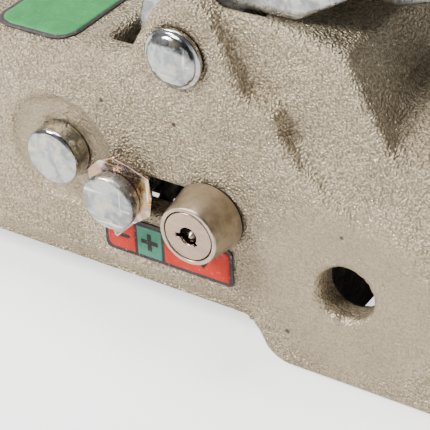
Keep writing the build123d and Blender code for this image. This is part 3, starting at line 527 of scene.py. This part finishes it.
# %% plated and machined metals
def zinc_colour(tree, where):
    patches = use(tree, cloudy, where, 0, Scale=260.0)
    clouds = blend_colours(tree, patches, srgb(186, 187, 186), srgb(140, 143, 145))
    tinted = blend_colours(tree, between(tree, use(tree, cloudy, where, 1, Scale=70.0), 0.5, 0.75), clouds,
                           srgb(205, 197, 172))
    return blend_colours(tree, use(tree, scratches, where, 0, Scale=500.0), tinted, srgb(232, 233, 235))


def zinc_roughness(tree, where):
    return between(tree, use(tree, cloudy, where, 1, Scale=200.0), 0.3, 0.7, 0.24, 0.42)


def zinc_height(tree, where):
    soft = use(tree, cloudy, where, 1, Scale=150.0)
    lines = use(tree, scratches, where, 0, Scale=650.0)
    return sums(tree, "ADD", soft, sums(tree, "MULTIPLY", lines, -0.4))


zinc_steel = finish_of("zinc_steel", zinc_colour, zinc_roughness, 0.92, zinc_height, 0.22, 0.0002, True)
pin_zinc = finish_of("pin_zinc", zinc_colour, lambda t, w: between(t, use(t, cloudy, w, 1, Scale=300.0),
                     0.3, 0.7, 0.10, 0.22), 1.0, zinc_height, 0.16, 0.0002)


def yellow_colour(tree, where):
    drift = place(tree, "TexNoise",
                  {"Vector": where, "Scale": 150.0, "Detail": 2.0, "Distortion": 1.2}).outputs[0]
    ramp = place(tree, "ValToRGB", {"Fac": drift})
    stops = ((0.30, (150, 118, 70)), (0.45, (186, 160, 118)), (0.55, (172, 132, 138)),
             (0.66, (208, 198, 172)), (0.80, (124, 118, 150)))
    for element, (at, tint) in zip(ramp.color_ramp.elements, (stops[0], stops[-1])):
        element.position, element.color = at, srgb(*tint)
    for at, colour in stops[1:-1]:
        ramp.color_ramp.elements.new(at).color = srgb(*colour)
    lines = use(tree, scratches, where, 0, Scale=700.0)
    return blend_colours(tree, lines, ramp.outputs[0], srgb(236, 230, 214))


yellow_zinc = finish_of("yellow_zinc", yellow_colour, lambda t, w: between(
    t, use(t, cloudy, w, 1, Scale=250.0), 0.3, 0.7, 0.14, 0.34), 1.0, zinc_height, 0.15, 0.0002)


def two_tone(first, second, scale, lined=0.0, line_colour=(230, 230, 228)):
    """Colour function: clouds of two tones, with an optional share of scratches."""
    def colour(tree, where):
        clouds = blend_colours(tree, use(tree, cloudy, where, 0, Scale=scale), srgb(*first), srgb(*second))
        if not lined:
            return clouds
        marks = sums(tree, "MULTIPLY", use(tree, scratches, where, 0, Scale=520.0), lined)
        return blend_colours(tree, marks, clouds, srgb(*line_colour))
    return colour


def drifting(low, high, scale):
    """Roughness function that drifts between two values."""
    return lambda tree, where: between(tree, use(tree, cloudy, where, 1, Scale=scale), 0.3, 0.7, low, high)


def grainy(scale):
    """Height function of a fine grain."""
    return lambda tree, where: use(tree, cast_grain, where, 0, Scale=scale)


def lathed(centre, scale, share=0.0):
    """Height function of turned rings about a Y axis, with a share of fine grain."""
    def height(tree, where):
        marks = use(tree, turned_marks, where, 0, Centre=tuple(centre), Scale=scale)
        grit = use(tree, cast_grain, where, 0, Scale=2500.0)
        return sums(tree, "ADD", marks, sums(tree, "MULTIPLY", grit, share))
    return height


lock_at = middle("lock_core")
spring_steel = finish_of("spring_steel", two_tone((92, 92, 94), (66, 64, 62), 180.0, 0.4),
                         drifting(0.3, 0.5, 300.0),
                         0.9, grainy(1800.0), 0.15, 0.0002, True)
bare_cast = finish_of("bare_cast", two_tone((128, 122, 114), (94, 88, 82), 140.0),
                      drifting(0.42, 0.62, 200.0),
                      0.85, grainy(1100.0), 0.4, 0.0004, True)
lock_nickel = finish_of("lock_nickel", two_tone((192, 178, 158), (170, 156, 138), 320.0, 0.1),
                        drifting(0.30, 0.40, 400.0), 1.0, lathed(lock_at, 5200.0, 0.05), 0.12, 0.00006)


def core_colour(tree, where):
    """Nickel face, with painted shade below it in the keyhole."""
    depth = place(tree, "SeparateXYZ", {0: where}).outputs[1]
    face_tone = two_tone((178, 156, 136), (170, 146, 130), 420.0, 0.1)(tree, where)
    # painted shade: below the face the keyhole is coloured near black
    return blend_colours(tree, between(tree, depth, -41.5 * MM, -41.1 * MM), face_tone, srgb(26, 20, 16))


core_nickel = finish_of("core_nickel", core_colour, drifting(0.24, 0.34, 500.0), 1.0,
                        lathed(lock_at, 6000.0, 0.1), 0.06, 0.0001)
lock_brass = finish_of("lock_brass", two_tone((196, 160, 96), (168, 132, 74), 400.0, 0.3),
                       drifting(0.22, 0.36, 400.0),
                       1.0, grainy(2500.0), 0.1, 0.0001)
bronze_bush = finish_of("bronze_bush", two_tone((158, 112, 62), (128, 88, 50), 260.0, 0.3),
                        drifting(0.3, 0.44, 300.0),
                        0.95, grainy(2000.0), 0.12, 0.0002)
friction = finish_of("friction", two_tone((58, 52, 46), (82, 70, 56), 900.0), drifting(0.75, 0.92, 400.0),
                     0.0, grainy(1500.0), 0.5, 0.0003)
seal_rubber = finish_of("seal_rubber", two_tone((26, 25, 24), (40, 38, 36), 300.0),
                        drifting(0.6, 0.8, 300.0),
                        0.0, grainy(2200.0), 0.25, 0.0002)
grip_plastic = finish_of("grip_plastic", two_tone((34, 35, 37), (46, 47, 49), 150.0),
                         drifting(0.48, 0.66, 250.0),
                         0.0, grainy(1700.0), 0.35, 0.0003)
trigger_plastic = finish_of("trigger_plastic", two_tone((166, 40, 34), (146, 34, 30), 200.0),
                            drifting(0.36, 0.5, 250.0), 0.0, grainy(2000.0), 0.2, 0.0002)


# %% printed films
def film(name, first, second, fleck=0.25):
    """Printed film: two close tones with specks where the rough casting under it shows through."""
    def colour(tree, where):
        ink = blend_colours(tree, use(tree, cloudy, where, 0, Scale=160.0), srgb(*first), srgb(*second))
        worn = sums(tree, "MULTIPLY", use(tree, cast_grain, where, 1, Scale=1300.0), fleck)
        return blend_colours(tree, worn, ink, srgb(232, 220, 208))
    return finish_of(name, colour, drifting(0.5, 0.66, 400.0), 0.0, grainy(1000.0), 0.35, 0.0003,
                     Specular_IOR_Level=0.25)


gauge_film = film("gauge_film", (62, 54, 58), (48, 42, 46), 0.12)
gauge_red = film("gauge_red", (190, 40, 24), (172, 34, 22), 0.08)
gauge_green = film("gauge_green", (70, 138, 110), (62, 126, 100), 0.08)
sign_black = film("sign_black", (32, 28, 30), (42, 37, 38), 0.1)
green_film = film("green_film", (64, 144, 84), (58, 134, 78), 0.06)
border_film = film("border_film", (70, 62, 65), (58, 52, 54), 0.08)

FINISHES = {"loaded_" + m.name: m for m in (
    cast_paint, zinc_steel, yellow_zinc, spring_steel, bare_cast, lock_nickel, lock_brass, bronze_bush,
    friction, seal_rubber, grip_plastic, trigger_plastic, gauge_film, green_film)}

# %% [markdown]
# ## Parts that keep their own mesh
# Most inner parts are right as they come. They only need a finish, which goes on the slots they
# already have.

# %% finish the loaded parts
for name, part in sorted(nodes.items()):
    for spot in part.material_slots:
        key = spot.material.name if spot.material else ""
        if key in FINISHES:
            spot.material = FINISHES[key]
        else:
            print("no finish for", name, key)

# %% [markdown]
# ## Casting
# The housing is a sand casting: soft edges, filled corners, a slightly wavy wall and a bottom edge
# rolled inwards. A soft copy gives the edges. Then the near and far walls are moved in and out by a
# height map of x and z: a lip round the guide pin's seat, a rolled lower edge with a ridge above it,
# and slow waves.

# %% casting skin
def bell(value, at, width):
    """Bump of height 1 at a value, fading over a width."""
    return np.exp(-((value - at) / width) ** 2)


def wall_relief(x, z):
    """Height in mm out of a side wall at x, z in mm."""
    guide = np.hypot(x - guide_at[0] / MM, z - guide_at[2] / MM)
    lip = 0.8 * bell(guide, 14.4, 1.4) * np.where(z > guide_at[2] / MM - 6, 1.0, 0.4)
    waves = 0.10 * np.sin(x / 5.7 + 0.6 * np.sin(z / 7.3)) + 0.08 * np.sin(z / 4.9 + x / 11.3)
    ridge = 0.5 * bell(z, -19.9, 1.0) * (x < 100)
    rolled = np.clip((-20.6 - z) / 5.0, 0, 1)
    edge = -1.7 * rolled * (x < 104)
    return lip + waves + ridge + edge


CASTING = ("nose_wall", "nose_cap", "side_wall_near", "side_wall_far", "front_roof", "lever_tower",
           "drawbar_seat")
skin, skin_quads, skin_tris, skin_edges = even_copy(CASTING, 1.05)
skin = relax(skin, skin_edges, 3)
facing = normals_of(skin, skin_quads)
x, y, z = (skin / MM).T
on_side = np.clip((np.abs(y) - 31.2) / 0.9, 0, 1) * np.clip((np.abs(facing[:, 1]) - 0.5) / 0.3, 0, 1)
skin[:, 1] += np.sign(y) * wall_relief(x, z) * on_side * MM
make_piece("casting_skin", skin, skin_quads, skin_tris, "housing", "cast_paint", cast_paint, CASTING)

# %% [markdown]
# ## Pins and bolt
# Each head is turned, so it is a profile swept round its axis. The guide pin's flat face has a soft
# bright edge, the pivot pin has a dome over a thin flange, and the slot bolt has a waist below a flat
# sheared head.

# %% guide pin
seat, face = 31.8, 32.5 + 4.75
half_pin = [(0, face), (6.0, face), (6.85, face - 0.45), (6.95, face - 1.2), (6.95, seat), (6.0, seat)]
profile = rounded(half_pin + [(r, -h) for r, h in half_pin[::-1]], 0.35)
make_piece("guide_pin_turned", *turned(profile, (guide_at[0], 0, guide_at[2])), "housing", "zinc_steel",
           pin_zinc, ("guide_pin",))

# %% pivot pin
pivot_at = middle("pivot_pin")
rise = np.linspace(0, 1, 14)
dome = np.stack([6.05 * np.sin(rise * np.pi / 2), 34.05 + 2.05 * np.cos(rise * np.pi / 2)], axis=-1)
shank = [(6.1, 33.95), (6.9, 33.75), (6.95, 32.55), (6.0, 32.5), (6.0, -33.95), (5.0, -34.2), (5.0, -35.3),
         (6.0, -35.45), (6.0, -37.1), (5.2, -38.0), (0, -38.0)]
profile = np.concatenate([dome, rounded(shank, 0.3)])
make_piece("pivot_pin_turned", *turned(profile, (pivot_at[0], 0, pivot_at[2])), "housing", "zinc_steel",
           pin_zinc, ("pivot_pin",))

# %% slot bolt
bolt_at = middle("slot_bolt")
half_bolt = [(0, 40.0), (6.2, 40.0), (6.72, 39.5), (6.72, 37.6), (6.25, 37.2), (6.25, 36.0), (4.25, 35.9)]
profile = rounded(half_bolt + [(r, -h) for r, h in half_bolt[::-1]], 0.3)
make_piece("slot_bolt_turned", *turned(profile, (bolt_at[0], 0, bolt_at[2])), "catch", "zinc_steel",
           zinc_steel, ("slot_bolt",))

# %% [markdown]
# ## Spring retainers
# A retainer is a thin four-cornered plate pressed over the bolt's shank, its wings bent towards the
# wall. In polar form its outline is a rounded rectangle, and the bend is a height that grows towards
# the corners.

# %% retainers
CORNERS = ((-91, 10.4), (-56, 7.4), (-24, 8.8), (10, 8.9), (39, 10.8), (60, 10.3), (85, 11.2), (118, 9.2),
           (152, 9.4), (200, 8.2), (235, 7.4))


def plate_outline(angle):
    """Radius of a polygon through the corners, as the angle turns: points along its sides in polar form."""
    corner_angle, corner_radius = np.radians([a for a, _ in CORNERS]), np.array([r for _, r in CORNERS])
    knots = np.stack([corner_radius * np.cos(corner_angle), corner_radius * np.sin(corner_angle)], axis=-1)
    share = np.linspace(0, 1, 12, endpoint=False)[:, None, None]
    sides = (knots * (1 - share) + np.roll(knots, -1, axis=0) * share).reshape(-1, 2)
    return np.interp(angle, np.arctan2(sides[:, 1], sides[:, 0]), np.hypot(*sides.T), period=2 * np.pi)


def bent_plate(side):
    """Polar grid from the bolt hole to the cornered outline; side is -1 for the near wall. The top and
    bottom corners curl away from the wall, the two side wings curl towards it."""
    angle = np.linspace(0, 2 * np.pi, 160, endpoint=False)[None, :]
    share = np.linspace(0, 1, 14)[:, None]
    radius = 4.3 + (plate_outline(angle) - 4.3) * share
    past_head = np.clip((radius - 6.2) / 4.6, 0, 1)
    lift = 1.5 * past_head ** 1.3 * np.sin(angle) ** 2
    bend = 1.5 * past_head ** 1.2 * np.abs(np.cos(angle)) ** 1.5
    faces = []
    for height in (35.85, 35.15):
        level_y = side * (height - bend + lift)
        faces.append(np.stack([radius * np.cos(angle), level_y + 0 * radius, radius * np.sin(angle)],
                              axis=-1))
    rows, columns = radius.shape
    points = np.concatenate([f.reshape(-1, 3) for f in faces]) * MM + [bolt_at[0], 0, bolt_at[2]]
    top = grid_quads(rows, columns, wrap=True)
    under = top[:, ::-1] + rows * columns
    k = np.arange(columns)
    nxt = (k + 1) % columns
    rims = []
    for row, flip in ((0, 1), (rows - 1, -1)):
        a, b = k + row * columns, nxt + row * columns
        rims.append(np.stack([b, a, a + rows * columns, b + rows * columns], axis=-1)[:, ::flip])
    return points, np.concatenate([top, under] + rims), np.zeros((0, 3), dtype=int)


for name, side in (("retainer_near", -1), ("retainer_far", 1)):
    make_piece(name + "_pressed", *bent_plate(side), "catch", "yellow_zinc", yellow_zinc, (name,))

# %% [markdown]
# ## Lock
# The barrel is a turned cone with a thin rim round its core. The core has a round keyhole with a
# notch: its profile is swept like the barrel's, but near the keyhole the radius follows the keyhole's
# outline instead of a circle.

# %% lock barrel
BASE, FACE = 32.72, 41.8
outer = [(0, 25.2), (4.2, 25.2), (4.2, 32.9), (8.05, BASE), (8.35, BASE + 0.35), (7.12, FACE - 0.35),
         (6.95, FACE),
         (6.2, FACE), (6.05, FACE - 0.25), (6.05, 34.6), (0, 34.6)]
profile = rounded(outer, 0.18)


def shank_flat(angle, radius, row):
    """Behind the wall face the shank is a flat-sided slot key: long along X, narrow along Z."""
    long_side, short_side = 7.1, 4.3
    c, s = np.abs(np.cos(angle)) / long_side, np.abs(np.sin(angle)) / short_side
    slot = (c ** 6 + s ** 6) ** (-1 / 6)
    return np.where(np.isclose(radius, 4.2, atol=0.02) & (row < 9), slot, radius)


make_piece("lock_barrel_turned", *turned(profile, (lock_at[0], 0, lock_at[2]), 128, shank_flat), "lock",
           "lock_nickel", lock_nickel, ("lock_barrel",))

# %% lock core
def keyhole(angle):
    """Polar outline of the keyhole: a circle with a notch to the left and a small one low right."""
    outline = np.full(angle.shape, 2.05)
    for towards, reach_mm, half in ((math.radians(188), 3.1, 0.5), (math.radians(-42), 2.7, 0.45)):
        apart = np.abs((angle - towards + np.pi) % (2 * np.pi) - np.pi)
        arm = np.where(apart < 1.2, np.minimum(reach_mm, half / np.maximum(np.sin(apart), 1e-3)), 0)
        outline = np.maximum(outline, arm)
    return outline


core = [(0, 40.25), (2.05, 40.25), (2.05, 40.8), (2.05, 41.4), (2.2, 41.65), (2.4, 41.7), (3.4, 41.7),
        (4.6, 41.7), (5.68, 41.7), (5.8, 41.62), (5.86, 41.3), (5.86, 34.9), (3.0, 34.7), (3.0, 22.0),
        (0, 22.0)]


def core_reach(angle, radius, row):
    """Full keyhole outline down the hole, easing to a circle by the third row of the face."""
    share = np.clip((3.4 - radius) / 1.2, 0, 1) * (row < 7)
    return radius + (keyhole(angle) - 2.05) * share


make_piece("lock_core_turned", *turned(core, (lock_at[0], 0, lock_at[2]), 160, core_reach), "lock_core",
           "lock_nickel", core_nickel, ("lock_core",))

guard = rounded([(0, 41.3), (0.3, 41.2), (1.15, 40.3), (0, 40.1)], 0.15)
guard_at = (lock_at[0] + 0.2 * MM, 0, lock_at[2] - 0.4 * MM)
make_piece("lock_keyway_post", *turned(guard, guard_at, 48), "lock_core", "lock_nickel", lock_nickel)

# %% [markdown]
# ## Labels
# The gauge is a dark film with three panels and its signs, all in the wall's plane: thin closed sheets
# a few hundredths of a millimetre above each other. The top label is draped: along its length it
# follows the flat roof and then the rounded edge.

# %% gauge panels and signs
def rounded_panel(x0, x1, z0, z1, radii, low, high, name, material):
    """Closed sheet between two heights; the left and right sides pull in near the corners as circles.
    radii are for the left-bottom, right-bottom, left-top and right-top corners, in mm."""
    z = np.linspace(z0, z1, 41)[:, None]
    u = np.linspace(0, 1, 17)[None, :]

    def pulled(r_low, r_high):
        into = np.where(z < z0 + r_low, z0 + r_low - z, np.where(z > z1 - r_high, z - z1 + r_high, 0))
        r = np.where(z < (z0 + z1) / 2, r_low, r_high)
        return r - np.sqrt(np.maximum(r ** 2 - into ** 2, 0))

    left, right = x0 + pulled(radii[0], radii[2]), x1 - pulled(radii[1], radii[3])
    flat_x, flat_z = left + (right - left) * u, z + 0 * u
    sheet = sheet_between(on_wall(flat_x, flat_z, high), on_wall(flat_x, flat_z, low))
    return make_piece(name, *sheet, "housing", "gauge_film", material)


PANEL, SIGN, SQUARE = (0.34, 0.42), (0.40, 0.47), (0.05,) * 4
STEM = (0.40, 0.475)
for name, spans, radii, heights, ink in (
    ("gauge_panel_red_front", (66.3, 73.7, -17.1, -9.3), (1.6, 0.05, 0.6, 0.05), PANEL, gauge_red),
    ("gauge_panel_green", (74.4, 81.0, -17.1, -9.3), SQUARE, PANEL, gauge_green),
    ("gauge_panel_red_rear", (81.7, 98.9, -17.1, -9.3), (0.05, 0.6, 0.05, 0.6), PANEL, gauge_red),
    ("gauge_minus", (68.4, 72.2, -13.9, -12.9), (0.1,) * 4, SIGN, sign_black),
    ("gauge_plus_bar", (75.4, 79.9, -13.7, -12.6), (0.1,) * 4, SIGN, sign_black),
    ("gauge_plus_stem", (77.1, 78.2, -15.45, -10.9), (0.1,) * 4, STEM, sign_black),
):
    rounded_panel(*spans, radii, *heights, name, ink)

t = np.linspace(0, 1, 9)[:, None]
spread = np.linspace(-1, 1, 9)[None, :]
arrow_x, arrow_z = 92.0 + spread * (0.05 + 2.9 * t), -15.3 + 4.6 * t + 0 * spread
make_piece("gauge_arrow", *sheet_between(on_wall(arrow_x, arrow_z, 0.47), on_wall(arrow_x, arrow_z, 0.40)),
           "housing", "gauge_film", sign_black)


# %% top label
ROOF, EDGE_R, EDGE_START = 31.0, 6.0, 26.5


def draped(half_x, half_length, radius, height):
    """Grid of the label: s runs along it over roof and edge, u across it between its rounded sides."""
    s = np.linspace(-half_length, half_length, 81)[:, None]
    u = np.linspace(-1, 1, 21)[None, :]
    past_corner = np.maximum(np.abs(s) - (half_length - radius), 0)
    width = half_x - radius + np.sqrt(np.maximum(radius ** 2 - past_corner ** 2, 0))
    bend = np.maximum(np.abs(s) - EDGE_START, 0) / EDGE_R
    y = np.sign(s) * (np.minimum(np.abs(s), EDGE_START) + (EDGE_R + height) * np.sin(bend))
    z = ROOF + height - (EDGE_R + height) * (1 - np.cos(bend))
    x_mid = middle("top_label")[0] / MM + 0.3
    return np.stack([x_mid + u * width, y + 0 * u, z + 0 * u], axis=-1) * MM


border = draped(10.7, 29.0, 4.6, 0.34), draped(10.7, 29.0, 4.6, -0.02)
make_piece("top_label_border", *sheet_between(*border), "housing", "green_film", border_film,
           ("top_label",))
make_piece("top_label_panel", *sheet_between(draped(9.8, 28.1, 3.8, 0.40), draped(9.8, 28.1, 3.8, 0.32)),
           "housing", "green_film", green_film)

# %% [markdown]
# ## Lever and handle
# The yoke is pressed sheet with rolled edges, the grip a moulded sleeve with ribs to hold, and the
# trigger a moulded tab. All are soft copies, so their outlines stay the same as the parts they stand for.

# %% lever
soften("lever_yoke", "lever_yoke_pressed", "lever", "zinc_steel", zinc_steel, 0.75, 4)
soften("handle_bar", "handle_bar_rolled", "lever", "zinc_steel", zinc_steel, 0.9, 3)
soften("release_trigger", "trigger_moulded", "trigger", "trigger_plastic", trigger_plastic, 0.6, 3)
grip, grip_quads, grip_tris, grip_edges = even_copy(("handle_grip",), 0.9)
grip = relax(grip, grip_edges, 3)
out_of_grip = normals_of(grip, grip_quads)
gx, gy, gz = (grip / MM).T
ribs = np.where((gx > 190) & (gx < 236), 0.5 - 0.5 * np.cos((gx - 190) * 2 * np.pi / 5.75), 0)
outer_face = np.clip((np.hypot(gy / 18, (gz - 64) / 11) - 0.82) / 0.1, 0, 1)
grip -= out_of_grip * (0.9 * ribs * outer_face)[:, None] * MM
make_piece("grip_moulded", grip, grip_quads, grip_tris, "lever", "grip_plastic", grip_plastic,
           ("handle_grip",))

# %% [markdown]
# ## Catch
# The catch and its carrier are bare castings inside the housing, seen only from below.

# %% catch
soften("ball_catch", "ball_catch_cast", "catch", "bare_cast", bare_cast, 0.9, 3)
soften("catch_carrier", "catch_carrier_cast", "catch", "bare_cast", bare_cast, 0.9, 2)

# %% [markdown]
# ## Light and floor
# One broad soft light from the left and above gives the grain its highlights, and weaker ones fill the
# tops and the right. A grey world, darker towards the drawbar, keeps the shadows open. The floor is
# plain and pale.

# %% light
def soft_light(name, at, size, power, colour=(1, 1, 1)):
    """Square area light at a point in mm, aimed at the lock side's middle."""
    lamp = bpy.data.lights.new(name, "AREA")
    lamp.shape, lamp.size, lamp.energy, lamp.color = "SQUARE", size, power, colour
    holder = bpy.data.objects.new(name, lamp)
    bpy.context.collection.objects.link(holder)
    place_at = Vector(at) * MM
    holder.location = place_at
    holder.rotation_euler = (Vector(TARGET) - place_at).to_track_quat("-Z", "Y").to_euler()


soft_light("key", (-360, -520, 560), 0.24, 13.0, (1.0, 0.985, 0.95))
soft_light("top", (-60, 60, 820), 0.35, 6.5)
soft_light("fill", (420, -700, 120), 0.5, 0.5)
world = bpy.data.worlds.new("studio")
world.use_nodes = True
sky = world.node_tree
towards = place(sky, "SeparateXYZ", {0: place(sky, "TexCoord").outputs["Generated"]}).outputs[0]
sky.links.new(between(sky, towards, -0.6, 0.7, 0.34, 0.05), sky.nodes["Background"].inputs[1])
sky.nodes["Background"].inputs[0].default_value = (0.96, 0.98, 1.0, 1)
bpy.context.scene.world = world

# %% floor
floor_z = cad_low[2] - 0.3 * MM
corner = np.array([[-1, -1], [1, -1], [1, 1], [-1, 1]]) * 3.0
floor_mesh = bpy.data.meshes.new("floor")
floor_mesh.from_pydata([(a, b, floor_z) for a, b in corner.tolist()], [], [(0, 1, 2, 3)])
floor = bpy.data.objects.new("floor", floor_mesh)
bpy.context.collection.objects.link(floor)
floor_paint = finish_of("floor_paint", two_tone((252, 252, 252), (250, 250, 250), 2.0), 0.9,
                        Emission_Color=(1, 1, 1, 1))
seen = place(floor_paint.node_tree, "LightPath").outputs["Is Camera Ray"]
glow = between(floor_paint.node_tree, seen, 0.0, 1.0, 0.10, 1.4)
floor_shader = floor_paint.node_tree.nodes["Principled BSDF"]
floor_paint.node_tree.links.new(glow, floor_shader.inputs["Emission Strength"])
floor_mesh.materials.append(floor_paint)
floor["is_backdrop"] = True
